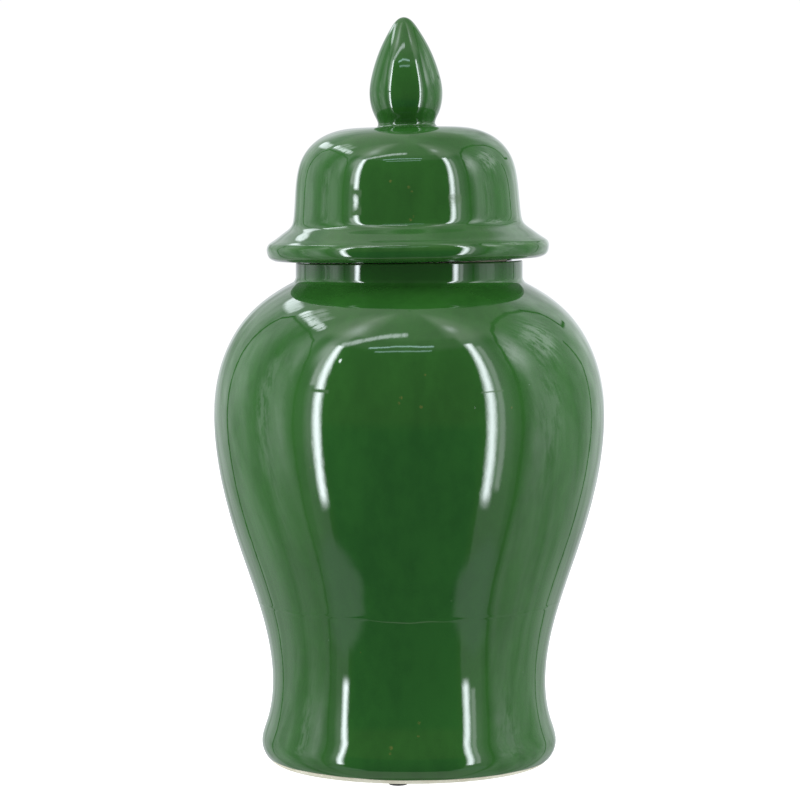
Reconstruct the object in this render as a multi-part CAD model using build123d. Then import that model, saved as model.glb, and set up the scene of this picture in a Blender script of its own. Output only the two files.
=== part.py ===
from build123d import *
import math
import os

# Covered ginger jar in glazed stoneware: a baluster body on a foot ring, a domed lid whose hidden
# flange drops into the neck, a flame finial luted to the lid, and bumper pads under the foot ring.
# Millimetres, +Z up. The origin is the centre of the plane that the pads stand on.
# Heights are measured up from the foot face, and the whole jar is raised by the pads at the end.

# Body: outline from the foot's edge to the root of the neck, as (radius, height)
body_outline = [
    (81.8, 0.0), (90.3, 8.8), (87.8, 24.3), (84.2, 48.8), (92.4, 96.5),
    (104.2, 132.0), (118.3, 192.0), (117.0, 237.0), (99.6, 272.9), (71.6, 294.0),
]
foot_edge_angle = 2.0        # direction in which the outline leaves the foot face, in degrees
shoulder_angle = 152.4       # direction in which it reaches the neck
body_wall = 6.0
neck_root_radius = 4.0       # concave corner between the shoulder and the neck
bore_radius = 62.4           # inside of the neck
rim_height = 307.1
rim_tilt = 0.7               # the lip is not level: its +X side stands higher, in degrees
rim_stock = 4.0              # height left above the lip for the tilted cut
lip_radius = 1.2
floor_height = 13.0
floor_corner_radius = 68.0   # where the flat floor starts to curve up into the wall
recess_depth = 5.0           # hollow inside the foot ring
ring_inner_radius = 68.0
recess_corner_radius = 3.0
inside_steps = 8             # stations of the inside curve, taken off the outline

# Lid: outline from under the brim to the flat crown, in the lid's own level frame
lid_outline = [
    (80.5, 308.2), (84.6, 310.2), (86.1, 313.8), (86.0, 317.0), (84.7, 319.0), (82.2, 320.9),
    (76.0, 325.6), (70.9, 329.7), (69.4, 335.2), (68.7, 342.8), (67.3, 357.8), (64.0, 369.8),
    (55.2, 380.8), (34.0, 388.3), (21.0, 388.6),
]
brim_angle = 15.0
seat_height = 307.6          # brim's underside where the flange starts
lid_wall = 5.0
flange_outer_radius = 60.0
flange_inner_radius = 55.0
flange_depth = 16.0
flange_edge_radius = 2.0
flange_root_height = 320.0
vent_radius = 3.0            # hole through the crown that vents the hollow finial
lid_tilt = 1.05              # the lid sits askew on the lip: its +X side stands higher
lid_shift = -0.67
lid_steps = 5

# Finial: flame outline above the crown, as (radius, height)
finial_outline = [
    (17.5, 2.6), (19.6, 7.6), (22.3, 20.9), (20.2, 33.4), (15.6, 46.4), (9.0, 58.7), (0.0, 66.6),
]
finial_start_angle = 77.8
finial_foot_radius = 19.6
finial_fillet_radius = 2.15
finial_wall = 5.0
finial_mouth_radius = 12.0
finial_stock = 1.0           # length below the crown, trimmed to the crown's plane
finial_lean = 0.65
finial_shift = 0.6
finial_steps = 5

# Bumper pads
pad_count = 4
pad_radius = 5.5
pad_thickness = 1.6
pad_edge_radius = 0.4
pad_circle_radius = 75.0
first_pad_angle = -95.0      # in degrees from +X


def direction(angle):
    return (math.cos(math.radians(angle)), math.sin(math.radians(angle)))


def smooth_curve(points, start_angle, end_angle):
    """A curve through the points that sets off and arrives in the given directions."""
    tangents = [direction(start_angle), direction(end_angle)]
    return Spline(*points, tangents=tangents, tangent_scalars=(1, 1))


def inward(curve, position, distance):
    """A point beside an upward outline, on the side of the jar's axis."""
    along = curve % position
    return curve @ position + Vector(-along.Y, along.X) * distance


def lathe(edges):
    """The solid that an (x, z) outline sweeps around the Z axis."""
    return revolve(Plane.XZ * make_face(edges), Axis.Z)


def make_jar_body():
    outside = smooth_curve(body_outline, foot_edge_angle, shoulder_angle)
    neck_root = JernArc(outside @ 1, outside % 1, neck_root_radius, 90 - shoulder_angle)
    neck_radius = (neck_root @ 1).X
    neck_outside = Line(neck_root @ 1, (neck_radius, rim_height + rim_stock))
    top = Line(neck_outside @ 1, (bore_radius, rim_height + rim_stock))
    bore = Line(top @ 1, (bore_radius, (neck_root @ 1).Y))
    stations = [0.96 - 0.82 * step / (inside_steps - 1) for step in range(inside_steps)]
    wall_points = [inward(outside, station, body_wall) for station in stations]
    inside = smooth_curve([bore @ 1, *wall_points, (floor_corner_radius, floor_height)], -90, 180)
    floor = Line(inside @ 1, (0, floor_height))
    axis_line = Line(floor @ 1, (0, recess_depth))
    recess = FilletPolyline(
        axis_line @ 1,
        (ring_inner_radius, recess_depth),
        (ring_inner_radius, 0),
        radius=recess_corner_radius,
    )
    foot_face = Line(recess @ 1, outside @ 0)
    outline = [outside, neck_root, neck_outside, top, bore, inside, floor, axis_line, recess, foot_face]
    above_rim = Cylinder(2 * bore_radius, 4 * rim_stock, align=(Align.CENTER, Align.CENTER, Align.MIN))
    body = lathe(outline) - Pos(0, 0, rim_height) * Rot(0, -rim_tilt, 0) * above_rim
    lip_edges = [edge for edge in body.edges() if abs(edge.center().Z - rim_height) < lip_radius]
    return fillet(lip_edges, lip_radius)


def make_lid_shell():
    underside = Line((flange_outer_radius, seat_height), lid_outline[0])
    outside = smooth_curve(lid_outline, brim_angle, 180)
    crown_height = lid_outline[-1][1]
    crown = Line(outside @ 1, (vent_radius, crown_height))
    vent = Line(crown @ 1, (vent_radius, crown_height - lid_wall))
    stations = [0.93 - 0.42 * step / (lid_steps - 1) for step in range(lid_steps)]
    wall_points = [inward(outside, station, lid_wall) for station in stations]
    inside = smooth_curve([vent @ 1, *wall_points, (flange_inner_radius, flange_root_height)], 0, -90)
    flange = FilletPolyline(
        inside @ 1,
        (flange_inner_radius, seat_height - flange_depth),
        (flange_outer_radius, seat_height - flange_depth),
        underside @ 0,
        radius=flange_edge_radius,
    )
    return lathe([underside, outside, crown, vent, inside, flange])


def make_finial(crown_plane, place):
    outside = smooth_curve(finial_outline, finial_start_angle, 180)
    foot_side = Line((finial_foot_radius, -finial_stock), (finial_foot_radius, 0))
    foot_fillet = JernArc(foot_side @ 1, (-1, 0), finial_fillet_radius, finial_start_angle - 180)
    join = Line(foot_fillet @ 1, outside @ 0)
    axis_line = Line(outside @ 1, (0, (outside @ 1).Y - finial_wall))
    stations = [0.88 - 0.70 * step / (finial_steps - 1) for step in range(finial_steps)]
    wall_points = [inward(outside, station, finial_wall) for station in stations]
    inside = smooth_curve([axis_line @ 1, *wall_points, (finial_mouth_radius, 0)], 0, -90)
    mouth = Line(inside @ 1, (finial_mouth_radius, -finial_stock))
    base = Line(mouth @ 1, foot_side @ 0)
    flame = place * lathe([foot_side, foot_fillet, join, outside, axis_line, inside, mouth, base])
    return split(flame, bisect_by=crown_plane, keep=Keep.TOP)


def make_pad(number):
    angle = math.radians(first_pad_angle + 360 / pad_count * number)
    pad = Cylinder(pad_radius, pad_thickness)
    pad = fillet(pad.edges().sort_by(Axis.Z)[0], pad_edge_radius)
    centre = (pad_circle_radius * math.cos(angle), pad_circle_radius * math.sin(angle))
    return Pos(*centre, pad_thickness / 2) * pad


raised = Pos(0, 0, pad_thickness)
lid_place = raised * Pos(lid_shift, 0, seat_height) * Rot(0, -lid_tilt, 0) * Pos(0, 0, -seat_height)
crown_place = lid_place * Pos(0, 0, lid_outline[-1][1])
finial_place = crown_place * Pos(finial_shift, 0, 0) * Rot(0, -finial_lean, 0)

nodes = {
    "jar_body": raised * make_jar_body(),
    "lid_shell": lid_place * make_lid_shell(),
    "finial": make_finial(Plane(crown_place), finial_place),
}
for number in range(pad_count):
    nodes[f"base_pad_{number + 1}"] = make_pad(number)

os.makedirs("parts", exist_ok=True)
for name, shape in nodes.items():
    export_step(shape, f"parts/{name}.step")
    size = shape.bounding_box().size
    print(f"{name}: {shape.volume / 1000:.1f} cm3, {size.X:.1f} x {size.Y:.1f} x {size.Z:.1f} mm")
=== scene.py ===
"""The looks of the ginger jar: thick green glaze on pale clay, in a plain white studio."""

import math

import bmesh
import bpy
import numpy as np
from mathutils import Matrix, Vector, noise


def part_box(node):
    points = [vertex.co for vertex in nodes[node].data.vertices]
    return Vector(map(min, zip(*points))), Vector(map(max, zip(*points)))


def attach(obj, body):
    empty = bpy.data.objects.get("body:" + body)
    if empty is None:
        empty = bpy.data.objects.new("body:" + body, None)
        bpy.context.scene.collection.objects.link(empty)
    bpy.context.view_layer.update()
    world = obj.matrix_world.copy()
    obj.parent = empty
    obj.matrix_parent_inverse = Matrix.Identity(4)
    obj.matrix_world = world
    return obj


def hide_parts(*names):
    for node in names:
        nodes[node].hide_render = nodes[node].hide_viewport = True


MM = 0.001
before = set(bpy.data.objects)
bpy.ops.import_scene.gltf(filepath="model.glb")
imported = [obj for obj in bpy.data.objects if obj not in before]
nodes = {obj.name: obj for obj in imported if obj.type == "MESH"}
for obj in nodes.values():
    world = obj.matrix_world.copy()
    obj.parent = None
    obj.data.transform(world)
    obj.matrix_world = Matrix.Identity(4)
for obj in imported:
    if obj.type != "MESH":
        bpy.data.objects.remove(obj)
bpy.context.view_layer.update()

# ------------------------ sizes
around = 320  # points round each turned piece
outer_spacing = 1.9 * MM  # between rings, on the surfaces that show
inner_spacing = 4.5 * MM
line_spacing = 0.4 * MM  # between rings, beside a line that needs fine ones
line_reach = 2.5 * MM
ring_turn = math.radians(6)
corner_turn = math.radians(22)
corner_trim = 0.5 * MM
seam_width = 0.002 * MM  # how far from the seam's plane its points may lie
on_line = 0.0001 * MM  # rings this close to a line lie on it

# the neck's painted shade under the lid's brim: how far down it reaches, and its soft edge
neck_height = 13 * MM
neck_blend = 3 * MM
lip_neck = 9 * MM  # how far below the lip its tilt fades out
lip_swell = 0.5 * MM  # how much higher the lip stands at the front and back
waist_line = 98.5 * MM  # height of a faint ridge above the foot face
waist_ridge = 0.06 * MM
waist_ridge_reach = 1.5 * MM
foot_slack = 0.1 * MM  # points within this of the lowest one belong to the flat foot
foot_line = 2.5 * MM  # height of the glaze's edge above the foot face
foot_blend = 3 * MM  # how far from the foot face the surface comes to its full relief
clay_step = 2.2 * MM  # below the foot's glaze, where the clay is back at its own level
inside_line = 25 * MM  # how far the glaze runs down inside the mouth
hidden_margin = 3 * MM  # how far past the glaze's hidden edge the rings stay close
far_from_edge = 20.0  # millimetres, for a piece that shows no edge of its glaze

flange_height = 13 * MM  # up from the lid's lowest point to where its flange is straight
brim_line = 5 * MM  # bare clay of the lid's underside, outside its flange
brim_ridge = 0.09 * MM  # a sharper line round the brim's upper edge
brim_ridge_rise = 3.4 * MM  # its height above the brim's widest ring
brim_ridge_reach = 1.3 * MM
brim_rough_reach = 9 * MM  # the brim is most uneven this far past that line, and as much again beyond
brim_blend = 14 * MM  # how far from the seat the lid's surface comes to its full relief
lid_unevenness = 0.8  # against the body's, which is 1
brim_unevenness = 2.0  # added to that on top of the brim
vent_edge = 4.5 * MM  # radius of the bare clay round the lid's vent
finial_slack = 0.02 * MM  # the same as foot_slack, for the finial's base
finial_blend = 2 * MM
finial_unevenness = 0.7
finial_bow = 0.22 * MM

glaze_depth = 0.3 * MM
glaze_rise = 0.9 * MM  # from its edge to where the glaze has its full depth
glaze_bead = 0.14 * MM
bead_reach = 1.9 * MM
clay_reach = 2.6 * MM  # how far the clay beside the glaze is set back
drain_radius = 3.2 * MM  # bends about this sharp are glazed thin
drain_start = 0.25  # gentler bends than this share of that one hold all their glaze

# The unevenness of hand finishing: its mean depth, then the stretch, wavelength, octaves, seed and
# depth of each kind of bump.
hand_depth = 0.12 * MM
hand_bumps = (
    ((1, 1, 0.7), 62 * MM, 2, 1, 0.075 * MM),
    ((1, 1, 0.8), 17 * MM, 2, 2, 0.02 * MM),
    ((0.2, 0.2, 1), 3.6 * MM, 1, 3, 0.003 * MM),
)

# Lines that wander round a piece: how far, then the turns, share and phase of each wave in them.
foot_wander = 0.45 * MM
foot_waves = ((1, 1.4, -1.9), (2, 0.5, 1.3), (5, 0.3, 0.4), (9, 0.26, 2.1), (16, 0.2, 0.7), (27, 0.12, 3.3))
waist_wander = 1.1 * MM
waist_waves = ((1, 0.5, 0.4), (3, 0.5, 2.2), (8, 0.35, 5.0), (17, 0.25, 1.0), (31, 0.15, 2.6))
inside_wander = 1.6 * MM
inside_waves = ((2, 0.9, 0.3), (5, 0.7, 1.9), (11, 0.5, 4.0), (19, 0.3, 1.1))
brim_wander = 0.8 * MM
brim_waves = ((3, 0.5, 0.8), (7, 0.3, 2.6), (13, 0.2, 1.2))

glaze_green = (0.0175, 0.083, 0.0128)
glaze_deep = (0.0135, 0.066, 0.0102)
glaze_thin = (0.075, 0.15, 0.05)
# painted shade: a darker green for the neck, where the lid's brim shades it
neck_shade_green = (0.006, 0.056, 0.004)
speck_brown = (0.075, 0.1, 0.022)
clay_cream = (0.6, 0.6, 0.5)
clay_shade = (0.5, 0.49, 0.39)
clay_toast = (0.46, 0.33, 0.2)
rubber_grey = (0.022, 0.022, 0.024)
rubber_dust = (0.075, 0.073, 0.07)

# Brown specks in the glaze: degrees from the front, share of the piece's height, size.
body_specks = (
    (-2.3, 0.752, 1.3 * MM), (-2.8, 0.742, 1.1 * MM), (3.3, 0.735, 1.3 * MM), (4.6, 0.794, 1.0 * MM),
    (-7.0, 0.073, 1.7 * MM), (-7.2, 0.063, 1.3 * MM), (4.0, 0.12, 1.3 * MM), (3.6, 0.095, 1.0 * MM),
    (30, 0.73, 0.9 * MM), (118, 0.62, 0.9 * MM), (171, 0.33, 1.0 * MM), (-122, 0.55, 0.8 * MM),
)
lid_specks = (
    (-8, 0.664, 1.2 * MM), (1, 0.626, 1.3 * MM), (2.5, 0.6, 0.9 * MM), (1.5, 0.432, 1.3 * MM),
    (3, 0.452, 0.9 * MM), (-150, 0.5, 0.9 * MM),
)
speck_edge = 0.35  # a speck is solid brown out to this share of its size
lump = (-20.0, 0.817, 3.0 * MM)  # one small lump in the glaze of the shoulder, given the same way
lump_edge = 0.1


# ------------------------ reading the turned shapes
def axis_of(node):
    """The matrix whose Z axis is the axis that a turned node was turned about."""
    count = len(node.data.polygons)
    centres = np.zeros(count * 3)
    normals = np.zeros(count * 3)
    areas = np.zeros(count)
    node.data.polygons.foreach_get("center", centres)
    node.data.polygons.foreach_get("normal", normals)
    node.data.polygons.foreach_get("area", areas)
    centres = centres.reshape(-1, 3)
    normals = normals.reshape(-1, 3)
    middle = centres.mean(axis=0)
    reach = np.abs(centres - middle).max()
    arms = (centres - middle) / reach
    rows = np.hstack([np.cross(arms, normals), normals]) * np.sqrt(areas)[:, None]
    line = np.linalg.eigh(rows.T @ rows)[1][:, 0]
    direction = line[:3] / np.linalg.norm(line[:3])
    moment = line[3:] / np.linalg.norm(line[:3])
    if direction[2] < 0:
        direction = -direction
        moment = -moment
    point = np.cross(direction, moment) * reach + middle
    origin = point - direction * point[2] / direction[2]
    upward = Vector(direction)
    sideways = Vector((0, 1, 0)).cross(upward).normalized()
    forward = upward.cross(sideways)
    turned = Matrix((sideways, forward, upward)).transposed().to_4x4()
    return Matrix.Translation(Vector(origin)) @ turned


def seam_points(node, place):
    """The seam of a turned node, in order, as radius and height about its axis."""
    shape = bmesh.new()
    shape.from_mesh(node.data)
    bmesh.ops.remove_doubles(shape, verts=shape.verts, dist=1e-6)
    back = place.inverted()
    seam = {}
    for vertex in shape.verts:
        local = back @ vertex.co
        if abs(vertex.co.y) < seam_width and local.x > -seam_width / 2:
            seam[vertex] = (local.x, local.z)
    links = {}
    for vertex in seam:
        beside = [edge.other_vert(vertex) for edge in vertex.link_edges]
        links[vertex] = [other for other in beside if other in seam]
    ends = [vertex for vertex in seam if len(links[vertex]) == 1]
    start = min(ends or seam, key=lambda vertex: seam[vertex][1])
    path = [start]
    used = {start}
    while True:
        onward = [vertex for vertex in links[path[-1]] if vertex not in used]
        if not onward:
            break
        path.append(onward[0])
        used.add(onward[0])
    points = np.array([seam[vertex] for vertex in path])
    shape.free()
    closed = not ends
    if closed and signed_area(points) < 0:
        points = np.vstack([points[:1], points[:0:-1]])
    return points, closed


def signed_area(points):
    """The area that a closed outline encloses, above 0 if it runs anticlockwise."""
    after = np.roll(points, -1, axis=0)
    return 0.5 * float(np.sum(points[:, 0] * after[:, 1] - after[:, 0] * points[:, 1]))


def smooth_run(points, fineness=8):
    """A fine curve through the points of one run without corners."""
    if len(points) == 2:
        share = np.linspace(0, 1, fineness + 1)[:, None]
        return points[0] * (1 - share) + points[1] * share
    steps = np.diff(points, axis=0)
    lengths = np.linalg.norm(steps, axis=1)
    slopes = steps / lengths[:, None]
    tangents = np.zeros_like(points)
    for i in range(1, len(points) - 1):
        before = lengths[i - 1]
        after = lengths[i]
        if max(before, after) > 3 * min(before, after):
            tangents[i] = slopes[i - 1] if before > after else slopes[i]
        else:
            tangents[i] = (slopes[i - 1] * after + slopes[i] * before) / (before + after)
    tangents[0] = 2 * slopes[0] - tangents[1]
    tangents[-1] = 2 * slopes[-1] - tangents[-2]
    if lengths[0] > 3 * lengths[1]:
        tangents[0] = slopes[0]
    if lengths[-1] > 3 * lengths[-2]:
        tangents[-1] = slopes[-1]
    curve = [points[:1]]
    t = np.linspace(0, 1, fineness + 1)[1:, None]
    for i, length in enumerate(lengths):
        value = points[i] * (2 * t**3 - 3 * t**2 + 1) + points[i + 1] * (3 * t**2 - 2 * t**3)
        value = value + length * tangents[i] * (t**3 - 2 * t**2 + t)
        value = value + length * tangents[i + 1] * (t**3 - t**2)
        curve.append(value)
    return np.vstack(curve)


def travelled(points):
    """The distance along a line to each of its points."""
    return np.concatenate([[0], np.cumsum(np.linalg.norm(np.diff(points, axis=0), axis=1))])


def shortened(curve, start, end):
    """The curve without a stretch at its start and one at its end."""
    along = travelled(curve)
    keep = (along > start) & (along < along[-1] - end)
    first = [np.interp(start, along, curve[:, k]) for k in (0, 1)]
    last = [np.interp(along[-1] - end, along, curve[:, k]) for k in (0, 1)]
    return np.vstack([[first], curve[keep], [last]])


def rounded(before, corner, after, count=7):
    """The points of a curve that eases a corner, without the two points it starts and ends at."""
    t = np.linspace(0, 1, count)[1:-1, None]
    return before * (1 - t) ** 2 + corner * 2 * t * (1 - t) + after * t**2


def fine_profile(points, closed):
    """The whole outline as one fine curve, its sharp corners eased as fired clay is."""
    ring = np.vstack([points, points[:1]]) if closed else points
    steps = np.diff(ring, axis=0)
    heading = np.unwrap(np.arctan2(steps[:, 1], steps[:, 0]))
    corners = (np.flatnonzero(np.abs(np.diff(heading)) > corner_turn) + 1).tolist()
    cuts = [0] + corners + [len(ring) - 1]
    runs = [smooth_run(ring[a : b + 1]) for a, b in zip(cuts[:-1], cuts[1:])]
    pieces = []
    for i, run in enumerate(runs):
        trim = min(corner_trim, 0.3 * travelled(run)[-1])
        start = trim if i > 0 or closed else 0
        end = trim if i < len(runs) - 1 or closed else 0
        pieces.append(shortened(run, start, end))
    curve = [pieces[0]]
    for i in range(1, len(pieces)):
        curve.append(rounded(pieces[i - 1][-1], ring[cuts[i]], pieces[i][0]))
        curve.append(pieces[i])
    if closed:
        curve.append(rounded(pieces[-1][-1], ring[0], pieces[0][0]))
    return np.vstack(curve)


def stations(curve, spacing):
    """Places along the curve, closer together where it bends. spacing has a value for each point."""
    along = travelled(curve)
    steps = np.diff(curve, axis=0)
    heading = np.unwrap(np.arctan2(steps[:, 1], steps[:, 0]))
    turning = np.abs(np.diff(heading, prepend=heading[0]))
    cost = np.diff(along) / spacing[:-1] + turning / ring_turn
    total = np.concatenate([[0], np.cumsum(cost)])
    count = int(math.ceil(total[-1])) + 1
    return np.interp(np.linspace(0, total[-1], count), total, along)


def with_ends(points, closed):
    """An outline that stops at a flat disc goes on to the axis."""
    if closed:
        return points
    start = [[0.0, points[0, 1]]] if points[0, 0] > 1e-5 else []
    end = [[0.0, points[-1, 1]]] if points[-1, 0] > 1e-5 else []
    return np.vstack(start + [points] + end)


class Outline:
    """The fine outline of a turned node, and the axis it turns about."""

    def __init__(self, name):
        self.place = axis_of(nodes[name])
        points, closed = seam_points(nodes[name], self.place)
        self.curve = fine_profile(with_ends(points, closed), closed)
        self.along = travelled(self.curve)
        self.top = int(np.argmax(self.curve[:, 1]))
        slope = np.gradient(self.curve, axis=0)
        slope = slope / np.linalg.norm(slope, axis=1)[:, None]
        self.normal = np.column_stack([slope[:, 1], -slope[:, 0]])

    def point(self, azimuth, level, start):
        """A point on the outside, past index start, by its angle from the front and its height."""
        outside = self.curve[start : self.top]
        radius = float(np.interp(level, outside[:, 1], outside[:, 0]))
        angle = math.radians(azimuth)
        return self.place @ Vector((radius * math.sin(angle), -radius * math.cos(angle), level))

    def at(self, distance):
        """The radius and height at a distance along the outline."""
        radius = np.interp(distance, self.along, self.curve[:, 0])
        height = np.interp(distance, self.along, self.curve[:, 1])
        return radius, height

    def normal_at(self, distance):
        """The outward direction there, as its sideways and upward shares."""
        sideways = np.interp(distance, self.along, self.normal[:, 0])
        upward = np.interp(distance, self.along, self.normal[:, 1])
        size = np.hypot(sideways, upward)
        return sideways / size, upward / size


outlines = {name: Outline(name) for name in ("jar_body", "lid_shell", "finial")}
angles = np.arange(around) * 2 * math.pi / around


# ------------------------ building the turned pieces
def smooth(value):
    """0 up to 0 and 1 from 1 on, with a smooth step between."""
    share = np.clip(value, 0, 1)
    return share * share * (3 - 2 * share)


def near(distance, reach):
    """1 at no distance, falling smoothly to 0 at reach."""
    return 1 - smooth(np.abs(distance) / reach)


def waves(parts):
    """A line that wanders round the piece. parts holds the turns, share and phase of each wave."""
    total = np.zeros_like(angles)
    for turns, share, phase in parts:
        total = total + share * np.sin(turns * angles + phase)
    return total


def uneven(points, wavelength, octaves, seed):
    """Smooth noise of about one unit at each point."""
    values = np.zeros(len(points))
    shift = Vector((seed * 17.3, seed * 5.9, seed * 11.1))
    for i, point in enumerate(points / wavelength):
        values[i] = noise.fractal(Vector(point) + shift, 0.9, 2.0, octaves)
    return values


def hand_made(points, size):
    """How far each point of a turned surface lies inside its true place: never outside it."""
    flat = points.reshape(-1, 3)
    depth = np.full(len(flat), hand_depth)
    for stretch, wavelength, octaves, seed, height in hand_bumps:
        depth = depth + height * uneven(flat * stretch, wavelength, octaves, seed)
    return size * np.maximum(depth, 0).reshape(points.shape[:2])


def ring_places(outline, lines, outer_span):
    """Rings along an outline, with one exactly on each glaze line and fine ones beside it."""
    along = outline.along
    spacing = np.full(len(along), inner_spacing)
    shown = (along > outer_span[0]) & (along < outer_span[1])
    spacing[shown] = outer_spacing
    for line in lines:
        spacing[np.abs(along - line) < line_reach] = line_spacing
    stops = [0.0] + sorted(lines) + [along[-1]]
    places = [0.0]
    for start, end in zip(stops[:-1], stops[1:]):
        inside = (along > start) & (along < end)
        part = np.concatenate([[start], along[inside], [end]])
        radius, height = outline.at(part)
        gaps = np.interp(part, along, spacing)
        found = stations(np.column_stack([radius, height]), gaps)
        places.extend((start + found[1:] * (end - start) / found[-1]).tolist())
    return np.array(places)


def lay_rings(outline, places, shifts):
    """Points and normals for each ring and angle. shifts holds the lines that wander round."""
    along = np.repeat(places[:, None], around, axis=1)
    for line, reach, size, parts in shifts:
        along = along + near(places - line, reach)[:, None] * (size * waves(parts))[None, :]
    along = np.clip(along, 0, outline.along[-1])
    radius, height = outline.at(along)
    outward, upward = outline.normal_at(along)
    points = np.stack([radius * np.cos(angles), radius * np.sin(angles), height], axis=-1)
    normals = np.stack([outward * np.cos(angles), outward * np.sin(angles), upward], axis=-1)
    return points, normals


def skin(name, points, closed, place, materials):
    """A mesh through rings of points: closed outlines join up, and open ones end on the axis."""
    first = 0 if closed else 1
    shown = points if closed else points[1:-1]
    index = np.arange(len(shown) * around).reshape(len(shown), around)
    rows = np.vstack([index, index[:1]]) if closed else index
    here = rows[:-1]
    above = rows[1:]
    quads = np.stack([here, np.roll(here, -1, 1), np.roll(above, -1, 1), above], axis=-1)
    faces = quads.reshape(-1, 4).tolist()
    vertices = shown.reshape(-1, 3).tolist()
    face_rings = np.repeat(np.arange(len(here)) + first, around).tolist()
    if not closed:
        low = len(vertices)
        vertices.append(points[0].mean(axis=0).tolist())
        vertices.append(points[-1].mean(axis=0).tolist())
        for i in range(around):
            after = (i + 1) % around
            faces.append([low, int(index[0, after]), int(index[0, i])])
            faces.append([low + 1, int(index[-1, i]), int(index[-1, after])])
            face_rings += [0, len(points) - 2]
    mesh = bpy.data.meshes.new(name)
    mesh.from_pydata(vertices, [], faces)
    mesh.transform(place)
    mesh.polygons.foreach_set("use_smooth", [True] * len(faces))
    for material in materials:
        mesh.materials.append(material)
    return put(name, mesh), np.array(face_rings)


def put(name, data):
    """A new object in the scene."""
    thing = bpy.data.objects.new(name, data)
    bpy.context.scene.collection.objects.link(thing)
    return thing


def paint_faces(piece, face_rings, glazed):
    """Glaze, material 0, on the rings where glazed is true, and clay, material 1, elsewhere."""
    slots = np.where(glazed[face_rings], 0, 1).astype(np.int32)
    piece.data.polygons.foreach_set("material_index", slots)


def store(piece, name, values, closed):
    """Keeps a number for the points of each ring, for the piece's material to read."""
    numbers = np.repeat(values if closed else values[1:-1], around)
    if not closed:
        numbers = np.append(numbers, [values[0], values[-1]])
    attribute = piece.data.attributes.new(name, "FLOAT", "POINT")
    attribute.data.foreach_set("value", numbers.astype(np.float32))


def glaze_offset(distance):
    """How the surface steps from bare clay up onto the rolled edge of the glaze."""
    step = glaze_depth * (smooth(distance / glaze_rise) - 1)
    bead = glaze_bead * near(distance - bead_reach, bead_reach)
    clay = -glaze_depth * near(distance, clay_reach)
    return np.where(distance >= 0, step + bead, clay)


def edge_thinning(outline, places):
    """1 where the outline turns sharply outwards, so the glaze has drained thin, else 0."""
    radius, height = outline.at(places)
    heading = np.unwrap(np.arctan2(np.gradient(height), np.gradient(radius)))
    bend = np.gradient(heading) / np.maximum(np.gradient(places), 1e-6)
    return smooth(bend * drain_radius - drain_start)


def index_where(outline, start, test):
    """The first point of the outline, from start, whose radius and height pass the test."""
    for i in range(start, len(outline.curve)):
        if test(*outline.curve[i]):
            return i
    raise ValueError("the outline has no such point")


def place_where(outline, start, test):
    """The same point's distance along the outline."""
    return outline.along[index_where(outline, start, test)]


def foot_corner(outline):
    """The last point of the body's flat foot, where its outside starts."""
    ground = outline.curve[:, 1].min()
    return int(np.flatnonzero(outline.curve[: outline.top, 1] < ground + foot_slack)[-1])


def lip_tilt(outline):
    """The slope of the body's lip along X, read from the frame."""
    points = np.array([vertex.co for vertex in nodes["jar_body"].data.vertices])
    radius = outline.curve[outline.top, 0]
    reach = np.abs(points[:, 0])
    lip = (reach > 0.9 * radius) & (reach < 1.05 * radius)
    right = points[lip & (points[:, 0] > 0), 2].max()
    left = points[lip & (points[:, 0] < 0), 2].max()
    return (right - left) / (2 * radius)


def tilt_lip(points, outline):
    """Lowers the points near the lip to its tilt, and raises them at the front and back."""
    radius, height = outline.curve[outline.top]
    share = smooth((points[..., 2] - height + lip_neck) / lip_neck)
    fall = radius * (1 - np.cos(angles)) * lip_tilt(outline)
    swell = lip_swell * np.sin(angles) ** 2
    points[..., 2] -= share * (fall - swell)


def body_lines(outline, foot):
    """Distances along the body's outline to the glaze's lower edge, the waist and its inside edge."""
    ground = float(outline.curve[:, 1].min())
    inside_height = outline.curve[outline.top, 1] - inside_line
    foot_edge = place_where(outline, foot, lambda r, z: z > ground + foot_line)
    waist = place_where(outline, foot, lambda r, z: z > ground + waist_line)
    inside_edge = place_where(outline, outline.top, lambda r, z: z < inside_height)
    return foot_edge, waist, inside_edge


def neck_shade_share(places, top):
    """1 on the neck, where a darker green paints the shade under the lid's brim."""
    start = smooth((places - top + neck_height) / neck_blend)
    return start * smooth((top - places) / neck_blend)


def make_body(materials):
    outline = outlines["jar_body"]
    foot = foot_corner(outline)
    foot_edge, waist, inside_edge = body_lines(outline, foot)
    span = (outline.along[foot], inside_edge + hidden_margin)
    places = ring_places(outline, [foot_edge, waist, inside_edge], span)
    shifts = (
        (foot_edge, 6 * MM, foot_wander, foot_waves),
        (waist, 12 * MM, waist_wander, waist_waves),
        (inside_edge, 14 * MM, inside_wander, inside_waves),
    )
    points, normals = lay_rings(outline, places, shifts)
    from_foot = places - foot_edge
    from_inside = inside_edge - places
    offset = np.minimum(glaze_offset(from_foot), glaze_offset(from_inside))
    offset = offset + waist_ridge * near(places - waist, waist_ridge_reach)
    offset = np.where(from_foot < -clay_step, 0, offset)[:, None] - hand_made(points, 1.0)
    relief = smooth((places - outline.along[foot]) / foot_blend)[:, None]
    points = points + normals * (offset * relief)[..., None]
    tilt_lip(points, outline)
    piece, face_rings = skin("jar_glazed", points, False, outline.place, materials)
    paint_faces(piece, face_rings, (places >= foot_edge - on_line) & (places < inside_edge - on_line))
    store(piece, "from_edge", np.minimum(from_foot, from_inside) / MM, False)
    store(piece, "thin", edge_thinning(outline, places), False)
    # painted shade on the neck, under the lid's brim
    store(piece, "shade_under_brim", neck_shade_share(places, outline.along[outline.top]), False)
    return piece


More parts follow.
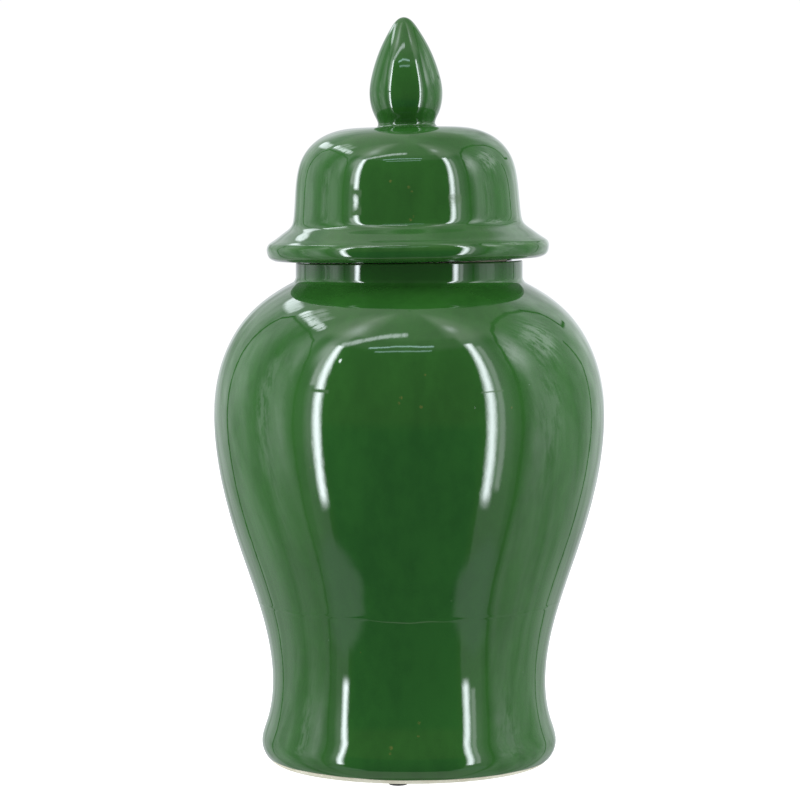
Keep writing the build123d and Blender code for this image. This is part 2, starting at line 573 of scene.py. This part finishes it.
def lid_lines(outline):
    """Distances along the lid's outline to the edge of its glaze, the brim's line and the vent."""
    flange_top = outline.curve[0, 1] + flange_height
    root = index_where(outline, 0, lambda r, z: z > flange_top)
    glaze_radius = outline.curve[root, 0] + brim_line
    brim_edge = place_where(outline, root, lambda r, z: r > glaze_radius)
    vent = place_where(outline, outline.top, lambda r, z: r < vent_edge)
    widest = int(np.argmax(outline.curve[:, 0]))
    ridge_height = outline.curve[widest, 1] + brim_ridge_rise
    ridge = place_where(outline, widest, lambda r, z: z > ridge_height)
    return brim_edge, ridge, vent


def make_lid(materials):
    outline = outlines["lid_shell"]
    brim_edge, ridge, vent = lid_lines(outline)
    places = ring_places(outline, [brim_edge, ridge, vent], (brim_edge - hidden_margin, vent))
    shifts = ((brim_edge, 4 * MM, brim_wander, brim_waves),)
    points, normals = lay_rings(outline, places, shifts)
    on_brim = near(places - ridge - brim_rough_reach, brim_rough_reach)
    unevenness = lid_unevenness + brim_unevenness * on_brim[:, None]
    offset = glaze_offset(places - brim_edge)[:, None] - hand_made(points, unevenness)
    offset = offset + brim_ridge * near(places - ridge, brim_ridge_reach)[:, None]
    relief = smooth((places - brim_edge) / brim_blend)[:, None]
    points = points + normals * (offset * relief)[..., None]
    piece, face_rings = skin("lid_glazed", points, True, outline.place, materials)
    paint_faces(piece, face_rings, (places >= brim_edge - on_line) & (places < vent - on_line))
    store(piece, "from_edge", np.minimum(places - brim_edge, vent - places) / MM, True)
    store(piece, "thin", edge_thinning(outline, places), True)
    return piece


def make_finial(materials):
    outline = outlines["finial"]
    low = float(outline.curve[:, 1].min())
    high = float(outline.curve[:, 1].max())
    foot = int(np.flatnonzero(outline.curve[:, 1] < low + finial_slack)[-1])
    foot_edge = outline.along[foot] - corner_trim
    places = ring_places(outline, [foot_edge], (foot_edge, outline.along[-1]))
    points, normals = lay_rings(outline, places, ())
    relief = smooth((places - foot_edge) / finial_blend)[:, None]
    points = points - normals * (hand_made(points, finial_unevenness) * relief)[..., None]
    share = (points[..., 2] - low) / (high - low)
    points[..., 0] += finial_bow * 4 * share * (1 - share)
    piece, face_rings = skin("finial_glazed", points, False, outline.place, materials)
    paint_faces(piece, face_rings, places >= foot_edge - on_line)
    store(piece, "from_edge", np.full(len(places), far_from_edge), False)
    store(piece, "thin", edge_thinning(outline, places), False)
    return piece


# ------------------------ materials
class Nodes:
    """A short way to write a material's nodes."""

    def __init__(self, name):
        self.material = bpy.data.materials.new(name)
        self.material.use_nodes = True
        self.tree = self.material.node_tree
        self.shader = self.tree.nodes["Principled BSDF"]

    def add(self, kind, inputs=(), **settings):
        node = self.tree.nodes.new(kind)
        for key, value in settings.items():
            setattr(node, key, value)
        for key, value in inputs:
            self.feed(node, key, value)
        return node

    def feed(self, node, key, value):
        if isinstance(value, bpy.types.NodeSocket):
            self.tree.links.new(value, node.inputs[key])
        else:
            node.inputs[key].default_value = value

    def math(self, operation, first, second=0.0, third=0.0):
        parts = ((0, first), (1, second), (2, third))
        return self.add("ShaderNodeMath", parts, operation=operation).outputs[0]

    def product(self, first, second):
        return self.math("MULTIPLY", first, second)

    def mix(self, share, first, second):
        """A colour between two colours. The node's colour sockets are its inputs 6 and 7."""
        parts = ((0, share), (6, colour(first)), (7, colour(second)))
        return self.add("ShaderNodeMix", parts, data_type="RGBA").outputs[2]

    def place(self, scale):
        source = self.add("ShaderNodeTexCoord").outputs["Object"]
        parts = ((0, source), ("Scale", scale))
        return self.add("ShaderNodeMapping", parts).outputs[0]

    def noise(self, scale, detail=2.0, roughness=0.5):
        parts = (
            ("Vector", self.place(scale)), ("Scale", 1.0), ("Detail", detail), ("Roughness", roughness),
        )
        return self.add("ShaderNodeTexNoise", parts).outputs["Fac"]

    def cells(self, scale, channel):
        """Scattered cells: the distance from each one's middle, and a random number for each."""
        parts = (("Vector", self.place(scale)), ("Scale", 1.0))
        cell = self.add("ShaderNodeTexVoronoi", parts)
        split = self.add("ShaderNodeSeparateColor", ((0, cell.outputs["Color"]),))
        return cell.outputs["Distance"], split.outputs[channel]

    def spread(self, value, low, high):
        """0 below low and 1 above high, with a smooth step between."""
        parts = (("Value", value), ("From Min", low), ("From Max", high))
        return self.add("ShaderNodeMapRange", parts, interpolation_type="SMOOTHSTEP").outputs[0]

    def stored(self, name):
        """A number that store kept on the piece."""
        node = self.add("ShaderNodeAttribute", attribute_name=name, attribute_type="GEOMETRY")
        return node.outputs["Fac"]

    def bump(self, height, distance, before=None):
        parts = [("Height", height), ("Distance", distance)]
        if before is not None:
            parts.append(("Normal", before))
        return self.add("ShaderNodeBump", parts).outputs[0]


def colour(value):
    if isinstance(value, bpy.types.NodeSocket):
        return value
    return (*value, 1.0)


def spot(n, centre, reach, sharpness):
    """1 at a point, falling to 0 at reach."""
    source = n.add("ShaderNodeTexCoord").outputs["Object"]
    gap = n.add("ShaderNodeVectorMath", ((0, source), (1, centre)), operation="DISTANCE")
    return n.spread(gap.outputs["Value"], reach, reach * sharpness)


def on_body(azimuth, share):
    """A point outside the body, by its angle from the front and its share of the body's height."""
    low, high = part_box("jar_body")
    outline = outlines["jar_body"]
    return outline.point(azimuth, low.z + share * (high.z - low.z), foot_corner(outline))


def on_lid(azimuth, share):
    """The same for the lid."""
    low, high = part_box("lid_shell")
    outline = outlines["lid_shell"]
    brim = int(np.argmax(outline.curve[:, 0]))
    return outline.point(azimuth, low.z + share * (high.z - low.z), brim)


def glaze_colour(n):
    """Cloudy green, paler where the glaze is thin, with painted shade in a darker green on the neck under
    the brim.
    """
    streaks = n.noise((34, 34, 9), 3.0, 0.55)
    clouds = n.noise((150, 150, 90), 2.0, 0.5)
    grain = n.noise((1500, 1500, 1500), 1.0, 0.5)
    tone = n.math("ADD", n.product(streaks, 0.6), n.product(clouds, 0.25))
    tone = n.math("ADD", tone, n.product(grain, 0.15))
    base = n.mix(n.spread(tone, 0.36, 0.64), glaze_deep, glaze_green)
    thin = n.product(n.stored("thin"), n.spread(clouds, 0.2, 0.7))
    edge = n.math("SUBTRACT", 1.0, n.spread(n.stored("from_edge"), 0.2, 1.3))
    base = n.mix(n.product(thin, 0.3), base, glaze_thin)
    base = n.mix(n.product(edge, 0.55), base, glaze_thin)
    # painted shade: the neck darkened under the lid's brim
    return n.mix(n.product(n.stored("shade_under_brim"), 0.85), base, neck_shade_green)


def glaze_specks(n):
    """1 in a brown speck: small ones scattered all over, and the larger ones in their places."""
    away, chosen = n.cells((70, 70, 70), 0)
    speck = n.product(n.spread(away, 0.05, 0.025), n.spread(chosen, 0.955, 0.96))
    for locate, specks in ((on_body, body_specks), (on_lid, lid_specks)):
        for azimuth, share, reach in specks:
            speck = n.math("MAXIMUM", speck, spot(n, locate(azimuth, share), reach, speck_edge))
    return n.product(speck, n.spread(n.noise((1100, 1100, 1100), 2.0, 0.6), 0.35, 0.6))


def glaze_surface(n):
    """Orange peel, a few pits and one lump."""
    peel = n.noise((230, 230, 190), 2.0, 0.4)
    away, chosen = n.cells((160, 160, 160), 1)
    pit = n.product(n.spread(away, 0.09, 0.02), n.spread(chosen, 0.97, 0.975))
    azimuth, share, reach = lump
    surface = n.bump(peel, 0.016 * MM)
    surface = n.bump(n.product(pit, -1.0), 0.12 * MM, surface)
    return n.bump(spot(n, on_body(azimuth, share), reach, lump_edge), 0.08 * MM, surface)


def glaze_material():
    n = Nodes("green_glaze_fired")
    rough = n.noise((60, 60, 40), 3.0, 0.6)
    n.feed(n.shader, "Base Color", n.mix(glaze_specks(n), glaze_colour(n), speck_brown))
    n.feed(n.shader, "Roughness", n.math("MULTIPLY_ADD", rough, 0.03, 0.01))
    n.feed(n.shader, "Normal", glaze_surface(n))
    n.shader.inputs["IOR"].default_value = 1.5
    return n.material


def clay_material():
    """Pale clay with grog, toasted beside the glaze, and fine marks of its turning."""
    n = Nodes("bare_clay")
    patches = n.noise((70, 70, 70), 3.0, 0.6)
    grain = n.noise((1300, 1300, 1300), 3.0, 0.6)
    turning = n.noise((6, 6, 900), 2.0, 0.5)
    base = n.mix(n.spread(patches, 0.35, 0.7), clay_cream, clay_shade)
    base = n.mix(n.product(n.spread(grain, 0.66, 0.74), 0.4), base, clay_toast)
    toasted = n.product(n.spread(n.stored("from_edge"), -1.1, 0.0), n.spread(patches, 0.3, 0.65))
    base = n.mix(n.product(toasted, 0.35), base, clay_toast)
    n.feed(n.shader, "Base Color", base)
    n.feed(n.shader, "Roughness", n.math("MULTIPLY_ADD", patches, 0.15, 0.74))
    n.feed(n.shader, "Normal", n.bump(turning, 0.06 * MM, n.bump(grain, 0.05 * MM)))
    n.shader.inputs["Specular IOR Level"].default_value = 0.3
    return n.material


def rubber_material():
    n = Nodes("bumper_rubber_grey")
    dust = n.noise((500, 500, 500), 3.0, 0.6)
    n.feed(n.shader, "Base Color", n.mix(n.spread(dust, 0.5, 0.75), rubber_grey, rubber_dust))
    n.feed(n.shader, "Roughness", n.math("MULTIPLY_ADD", dust, 0.2, 0.5))
    n.feed(n.shader, "Normal", n.bump(n.noise((1800, 1800, 1800), 2.0, 0.5), 0.03 * MM))
    return n.material


# ------------------------ studio
# Directions in the studio are in degrees, round from the front and up from the dome's centre.
camera_distance = 1.9217
camera_height = 0.35766  # above the body's foot
camera_pitch = 4.04  # degrees down
camera_turn = 0.168
camera_lens = 141.5  # millimetres, as is the sensor
camera_sensor = 36

room_light = 0.3
floor_reach = 6
floor_depth = 12  # how far the floor goes on behind the jar
floor_tone = 0.4
floor_glow = 0.95
bounce_reach = 3
bounce_tone = 0.02
bounce_glow = 1.1
backdrop_radius = 14
backdrop_tone = 1.02
light_size = 1.3
light_distance = 1.6

# Soft lights: direction, and the brightness of white paper that faces them.
softboxes = (
    ("side_left", -80, 26, 1.6),
    ("side_right", 80, 26, 1.42),
    ("behind", 180, 20, 0.9),
    ("above", 0, 85, 0.4),
)

dome_radius = 0.9
dome_centre = 0.2216
dome_cell = 0.5
dome_bottom = -75
dome_top = 89.5

plain_tint = (1, 1, 1)
wall_tint = (0.98, 1.0, 1.06)
tube_tint = (0.94, 1.0, 1.06)
table_tint = (0.92, 1.0, 1.1)
screen_tint = (0.4, 0.6, 1.5)
bluish = (0.72, 1.0, 1.06)

# Brightness round the walls and round the ceiling: direction, and how bright.
wall_tones = (
    (-180, 0.95), (-160, 0.88), (-142, 0.87), (-130, 0.98), (-124, 1.1), (-116, 1.05), (-104, 0.78),
    (-97, 0.5), (-93, 0.38), (-85, 0.9), (-79, 1.5), (-75, 1.6), (-71, 1.0), (-66, 0.35), (-61, 0.5),
    (-57, 1.6), (-50, 1.7), (-48, 0.5), (-46, 0.2), (0, 0.12), (38, 0.12), (41, 0.8), (50, 1.4),
    (57, 0.95), (61, 0.5), (66, 0.3), (70, 0.7), (75, 1.7), (80, 1.5), (86, 0.9), (93, 0.6),
    (104, 0.65), (117, 0.65), (124, 0.85), (130, 0.85), (142, 1.0), (180, 1.0),
)
ceiling_tones = (
    (-180, 1.0), (-140, 1.0), (-86, 1.1), (-68, 1.8), (-56, 2.8), (-44, 1.9), (-30, 1.0),
    (0, 0.8), (30, 0.75), (44, 2.2), (54, 2.0), (68, 1.1), (90, 0.7), (135, 0.5), (180, 0.8),
)
zenith_tone = 1.0
ceiling_edge = (47, 9)  # where the walls end, and over how many degrees
zenith_edge = (72, 16)
low_wall_tone = 0.7  # the walls are no brighter than this far below the horizon
low_wall_edge = (-30, 25)
fold_depth = 0.4
fold_edge = (62, 12)  # how far round the walls' folds start

# Pale places on the walls: direction, reach, brightness and raggedness.
wall_glows = (
    ((74, 35), (7, 9), 5.0, 0.5),
    ((102, 35), (14, 9), 2.6, 1.6),
    ((-75, 33), (3, 9), 2.2, 0.8),
    ((-59, 40), (5, 9), 4.4, 0.0),
    ((-86, 6), (7, 22), 1.6, 1.8),
    ((84, 4), (9, 18), 1.6, 1.6),
)
# The photographer's side: extent round and up, brightness, softness and tint.
dark_panels = (
    ((-50, 42), (-75, 47), 0.16, 2.0, plain_tint),
    ((-48, 40), (-75, -2), 0.09, 8.0, screen_tint),
    ((-48, 40), (47, 56), 0.55, 5.0, plain_tint),
)
# The stand's sides as the glaze shows them, and how far round the left and right one go.
stand_side = (
    (34, -47), (36, -43.5), (39.5, -41.5), (44, -39), (48, -37), (53.5, -34.3), (58, -36), (65, -37),
)
stand_ends = ((-1, 73), (1, 66))
stand_corner = -39.5
stand_foot = -47
stand_tone = 0.9
stand_fade = (55, 17)
table_edge = -47.6
table_softness = 1.2
table_fade = (50, 40)
table_tone = 0.85

ceiling_glows = (
    ((-52, 61), (7, 6), 5.5),
    ((45, 64.5), (5, 3.5), 5.5),
)
# Lines on the dome: path, width, brightness, softness, tint and raggedness.
ceiling_strokes = (
    (((-50, 47), (-42, 51.5), (-30, 56.5), (-18, 60), (-3, 61.5)), 3.5, 8.0, 3.0, tube_tint, 0.5),
    (((-122, 50), (-104, 53.5), (-84, 53)), 4.5, 10.0, 2.5, tube_tint, 1.1),
    (((-120, 55), (-98, 58.5)), 5.0, 3.2, 5.0, wall_tint, 1.2),
    (((-147, 37), (-132, 44)), 6.0, 4.8, 2.5, tube_tint, 0.5),
)
# The dark edges of the screens: path, width, brightness and softness.
screen_edges = (
    (((-66, -75), (-66.5, 22), (-69, 36), (-76, 44.5), (-88, 48), (-108, 47.5), (-122, 45)), 1.3, 0.25, 1.2),
    (((-122, 45), (-127, 39), (-127.6, -75)), 1.5, 0.0, 1.2),
    (((65, -75), (65, 33), (68, 45), (76, 53), (90, 57), (104, 56.5), (118, 53), (130, 45)), 2.2, 0.2, 1.4),
    (((130, 45), (135, 36), (135.5, 25), (143, 22.5)), 1.6, 0.05, 1.0),
    (((122, 24), (127, 12), (129, -75)), 1.3, 0.0, 1.2),
)
# The two strip lights, the paler board beside each and the clip across it.
strip_boards = (
    ((-58.5, -52), (18, 45), 5.0, 2.4, wall_tint),
    ((50.0, 53.6), (-24, 46), 3.6, 2.2, wall_tint),
)
strips = (
    (-51.7, 4.1, (-27, 46), 23.0),
    (45.8, 4.3, (-27, 49), 20.0),
)
strip_clips = (
    ((-57, -46), (14.0, 16.0), 1.2, 0.8),
    ((41, 55), (14.7, 15.5), 2.5, 0.7),
)
high_strokes = (
    (((-29, 47.5), (-12, 50.3), (2, 50.6), (18, 50)), 1.0, 8.0, 0.8, bluish),
    (((-24, 45), (-8, 46.3), (16, 46.6)), 0.8, 5.5, 0.8, bluish),
)


def beyond(value, edge):
    """0 up to an edge, and 1 once past it by the edge's width."""
    start, width = edge
    return smooth((value - start) / width)


class Dome:
    """How bright the studio looks in each direction from the jar."""

    def __init__(self):
        columns = int(360 / dome_cell)
        rows = int((dome_top - dome_bottom) / dome_cell) + 1
        self.across = np.linspace(-180, 180, columns, endpoint=False)[None, :] + np.zeros((rows, 1))
        self.up = np.linspace(dome_bottom, dome_top, rows)[:, None] + np.zeros((1, columns))
        self.light = np.zeros((rows, columns, 3))
        self.folds = self.texture(0.07, 0.05, 0.03, 0.7)
        self.brushed = self.texture(0.34, 0.11, 0.1, 0.35)

    def texture(self, across, up, slant, softness):
        """Uneven light, finer with larger steps. slant tips its streaks over."""
        values = np.zeros(self.across.size)
        spots = zip((self.across * across + self.up * slant).ravel(), (self.up * up).ravel())
        for i, (x, y) in enumerate(spots):
            values[i] = noise.fractal(Vector((x, y, 4.0)), softness, 2.1, 4)
        return values.reshape(self.across.shape)

    def cover(self, mask, tone, tint=plain_tint, ragged=0.0):
        """Paints over what is there, where mask is above 0."""
        target = np.asarray(tone)[..., None] * np.array(tint)
        share = np.clip(mask * (1 + ragged * self.brushed), 0, 1)
        self.light += (target - self.light) * share[..., None]

    def panel(self, across, up, tone, soft, tint=plain_tint):
        left = smooth((self.across - across[0]) / soft + 0.5)
        right = smooth((across[1] - self.across) / soft + 0.5)
        low = smooth((self.up - up[0]) / soft + 0.5)
        high = smooth((up[1] - self.up) / soft + 0.5)
        self.cover(left * right * low * high, tone, tint)

    def strip(self, centre, reach, up, tone):
        """A strip light: brightest along its middle, fading out at its lower end."""
        across = smooth(1 - np.abs(self.across - centre) / reach)
        ends = smooth((self.up - up[0]) / 5 + 0.5) * smooth((up[1] - self.up) / 1.5 + 0.5)
        self.cover(across * ends, tone, tube_tint)

    def stroke(self, path, width, tone, soft, tint=plain_tint, ragged=0.0):
        nearest = np.full(self.across.shape, 1e9)
        for (x0, y0), (x1, y1) in zip(path[:-1], path[1:]):
            length = (x1 - x0) ** 2 + (y1 - y0) ** 2
            share = ((self.across - x0) * (x1 - x0) + (self.up - y0) * (y1 - y0)) / length
            share = np.clip(share, 0, 1)
            sideways = self.across - x0 - share * (x1 - x0)
            upward = self.up - y0 - share * (y1 - y0)
            nearest = np.minimum(nearest, np.hypot(sideways, upward))
        self.cover(1 - smooth((nearest - width / 2) / soft + 0.5), tone, tint, ragged)

    def glow(self, centre, reach, tone, ragged=0.0):
        sideways = (self.across - centre[0]) / reach[0]
        upward = (self.up - centre[1]) / reach[1]
        self.cover(np.exp(-(sideways**2 + upward**2)), tone, wall_tint, ragged)

    def patch(self, corners, tone, tint):
        """A soft-edged patch with these corners, which fades out towards the jar's sides."""
        inside = np.zeros(self.across.shape, bool)
        for (x0, y0), (x1, y1) in zip(corners, corners[1:] + corners[:1]):
            between = (self.up < y0) != (self.up < y1)
            left = self.across < x0 + (self.up - y0) * (x1 - x0) / (y1 - y0 + 1e-9)
            inside ^= between & left
        mask = inside.astype(float)
        for axis in (0, 1) * 9:
            mask = (np.roll(mask, 1, axis) + mask + np.roll(mask, -1, axis)) / 3
        fade = 1 - beyond(np.abs(self.across), stand_fade)
        self.cover(mask * fade, tone, tint)


def light_walls(dome):
    """The walls, with their pale places, and the ceiling over them."""
    walls = np.interp(dome.across, *zip(*wall_tones))
    ceiling = np.interp(dome.across, *zip(*ceiling_tones))
    high = beyond(dome.up, zenith_edge)
    ceiling = ceiling * (1 - high) + zenith_tone * high
    folds = 1 + fold_depth * dome.folds * beyond(np.abs(dome.across), fold_edge)
    low = beyond(dome.up, low_wall_edge)
    walls = walls * low + np.minimum(walls, low_wall_tone) * (1 - low)
    dome.cover(np.ones_like(dome.up), walls * folds, wall_tint)
    for glow in wall_glows:
        dome.glow(*glow)
    dome.cover(beyond(dome.up, ceiling_edge), ceiling)
    for panel in dark_panels:
        dome.panel(*panel)


def light_table(dome):
    """The stand's two sides and the table in front of it."""
    for side, outer in stand_ends:
        path = (*stand_side, (outer, stand_corner), (outer, stand_foot))
        dome.patch([(side * across, up) for across, up in path], stand_tone, table_tint)
    edge = smooth((table_edge - dome.up) / table_softness + 0.5)
    dome.cover(edge * (1 - beyond(np.abs(dome.across), table_fade)), table_tone)


def light_lamps(dome):
    """The lamps: the ceiling's, then the screens' dark edges, then the strips over them."""
    for glow in ceiling_glows:
        dome.glow(*glow)
    for stroke in ceiling_strokes + screen_edges:
        dome.stroke(*stroke)
    for panel in strip_boards:
        dome.panel(*panel)
    for strip in strips:
        dome.strip(*strip)
    for panel in strip_clips:
        dome.panel(*panel)
    for stroke in high_strokes:
        dome.stroke(*stroke)


def glow_material(name):
    """A material that glows in the colours kept on its mesh, and lights nothing by itself."""
    material = bpy.data.materials.new(name)
    material.use_nodes = True
    tree = material.node_tree
    tree.nodes.clear()
    shader = tree.nodes.new("ShaderNodeEmission")
    reader = tree.nodes.new("ShaderNodeAttribute")
    reader.attribute_name = "tone"
    tree.links.new(reader.outputs["Color"], shader.inputs["Color"])
    output = tree.nodes.new("ShaderNodeOutputMaterial")
    tree.links.new(shader.outputs[0], output.inputs["Surface"])
    material.cycles.emission_sampling = "NONE"
    return material


def hide_from(thing, *rays):
    """Makes these kinds of ray pass a thing by."""
    for ray in rays:
        setattr(thing, "visible_" + ray, False)


def keep_tones(mesh, tones):
    """Keeps a colour for each point, for the mesh's glow."""
    attribute = mesh.attributes.new("tone", "FLOAT_COLOR", "POINT")
    attribute.data.foreach_set("color", tones.reshape(-1).astype(np.float32))


def make_dome():
    """The room as the glaze reflects it. Nothing else sees it."""
    dome = Dome()
    light_walls(dome)
    light_table(dome)
    light_lamps(dome)
    across = np.radians(dome.across)
    up = np.radians(dome.up)
    flat = dome_radius * np.cos(up)
    height = dome_centre + dome_radius * np.sin(up)
    points = np.stack([flat * np.sin(across), -flat * np.cos(across), height], -1)
    rows, columns = dome.across.shape
    index = np.arange(rows * columns).reshape(rows, columns)
    here = index[:-1]
    above = index[1:]
    quads = np.stack([here, np.roll(here, -1, 1), np.roll(above, -1, 1), above], axis=-1)
    mesh = bpy.data.meshes.new("studio_dome")
    mesh.from_pydata(points.reshape(-1, 3).tolist(), [], quads.reshape(-1, 4).tolist())
    keep_tones(mesh, np.concatenate([np.clip(dome.light, 0, None), np.ones((rows, columns, 1))], axis=-1))
    mesh.materials.append(glow_material("studio_glow"))
    thing = put("studio_dome", mesh)
    hide_from(thing, "camera", "diffuse", "shadow", "transmission", "volume_scatter")
    return thing


def sheet(name, low, high, tone, glow):
    """A flat rectangle of glowing paper at floor level, from one corner to the other."""
    corners = [(low[0], low[1], 0), (high[0], low[1], 0), (high[0], high[1], 0), (low[0], high[1], 0)]
    mesh = bpy.data.meshes.new(name)
    mesh.from_pydata(corners, [], [range(4)])
    n = Nodes(name + "_paper")
    shade = n.noise((9, 9, 9), 2.0, 0.5)
    paper = n.mix(shade, (tone, tone, tone), (tone * 0.985, tone * 0.985, tone * 0.98))
    n.feed(n.shader, "Base Color", paper)
    n.shader.inputs["Roughness"].default_value = 0.9
    n.shader.inputs["Specular IOR Level"].default_value = 0.0
    n.shader.inputs["Emission Color"].default_value = (1, 1, 1, 1)
    n.shader.inputs["Emission Strength"].default_value = glow
    n.material.cycles.emission_sampling = "NONE"
    mesh.materials.append(n.material)
    return put(name, mesh)


def make_floor():
    """The floor that the camera sees."""
    reach = floor_reach
    floor = sheet("floor", (-reach, -reach), (reach, floor_depth), floor_tone, floor_glow)
    hide_from(floor, "glossy", "diffuse")
    return floor


def make_bounce():
    """The light that the floor throws back, on its own so that it doesn't change how the floor looks."""
    reach = bounce_reach
    bounce = sheet("floor_bounce", (-reach, -reach), (reach, reach), bounce_tone, bounce_glow)
    hide_from(bounce, "camera", "glossy", "shadow")
    return bounce


def make_backdrop():
    """A white room that only the camera sees."""
    shape = bmesh.new()
    bmesh.ops.create_icosphere(shape, subdivisions=3, radius=backdrop_radius)
    mesh = bpy.data.meshes.new("backdrop")
    shape.to_mesh(mesh)
    shape.free()
    keep_tones(mesh, np.full((len(mesh.vertices), 4), backdrop_tone))
    mesh.materials.append(glow_material("white_paper"))
    thing = put("backdrop", mesh)
    hide_from(thing, "diffuse", "glossy", "shadow", "transmission", "volume_scatter")
    return thing


def softbox(name, azimuth, elevation, brightness):
    """A large soft light aimed at the jar. brightness is what white paper facing it would show."""
    light = bpy.data.lights.new(name, "AREA")
    light.shape = "SQUARE"
    light.size = light_size
    light.energy = brightness * math.pi**2 * light_distance**2
    target = Vector((0, 0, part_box("jar_body")[1].z / 2))
    across = math.radians(azimuth)
    up = math.radians(elevation)
    flat = math.cos(up)
    aim = Vector((math.sin(across) * flat, -math.cos(across) * flat, math.sin(up)))
    thing = put(name, light)
    thing.location = target + light_distance * aim
    thing.rotation_euler = (target - thing.location).to_track_quat("-Z", "Y").to_euler()
    hide_from(thing, "glossy", "camera")


def make_studio():
    world = bpy.data.worlds.new("white_room")
    world.use_nodes = True
    background = world.node_tree.nodes["Background"]
    background.inputs["Color"].default_value = (room_light, room_light, room_light, 1)
    scene = bpy.context.scene
    scene.world = world
    scene.view_settings.view_transform = "Standard"
    scene.view_settings.look = "None"
    floor = make_floor()
    bounce = make_bounce()
    make_dome()
    make_backdrop()
    for light in softboxes:
        softbox(*light)


def make_camera():
    """Level with the lid, a little left of centre, far enough off to flatten the jar."""
    data = bpy.data.cameras.new("camera")
    data.sensor_width = camera_sensor
    data.lens = camera_lens
    camera = put("camera", data)
    camera.location = (0, -camera_distance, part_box("jar_body")[0].z + camera_height)
    camera.rotation_euler = (math.pi / 2 - math.radians(camera_pitch), 0, math.radians(camera_turn))
    bpy.context.scene.camera = camera


# ------------------------ the scene
make_camera()
make_studio()
fired = [glaze_material(), clay_material()]
rubber = rubber_material()
turned = (
    (make_body(fired), "jar_body", "jar"),
    (make_lid(fired), "lid_shell", "lid"),
    (make_finial(fired), "finial", "lid"),
)
for piece, node, body in turned:
    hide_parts(node)
    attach(piece, body)
for name, node in nodes.items():
    if name.startswith("base_pad"):
        node.data.materials.clear()
        node.data.materials.append(rubber)
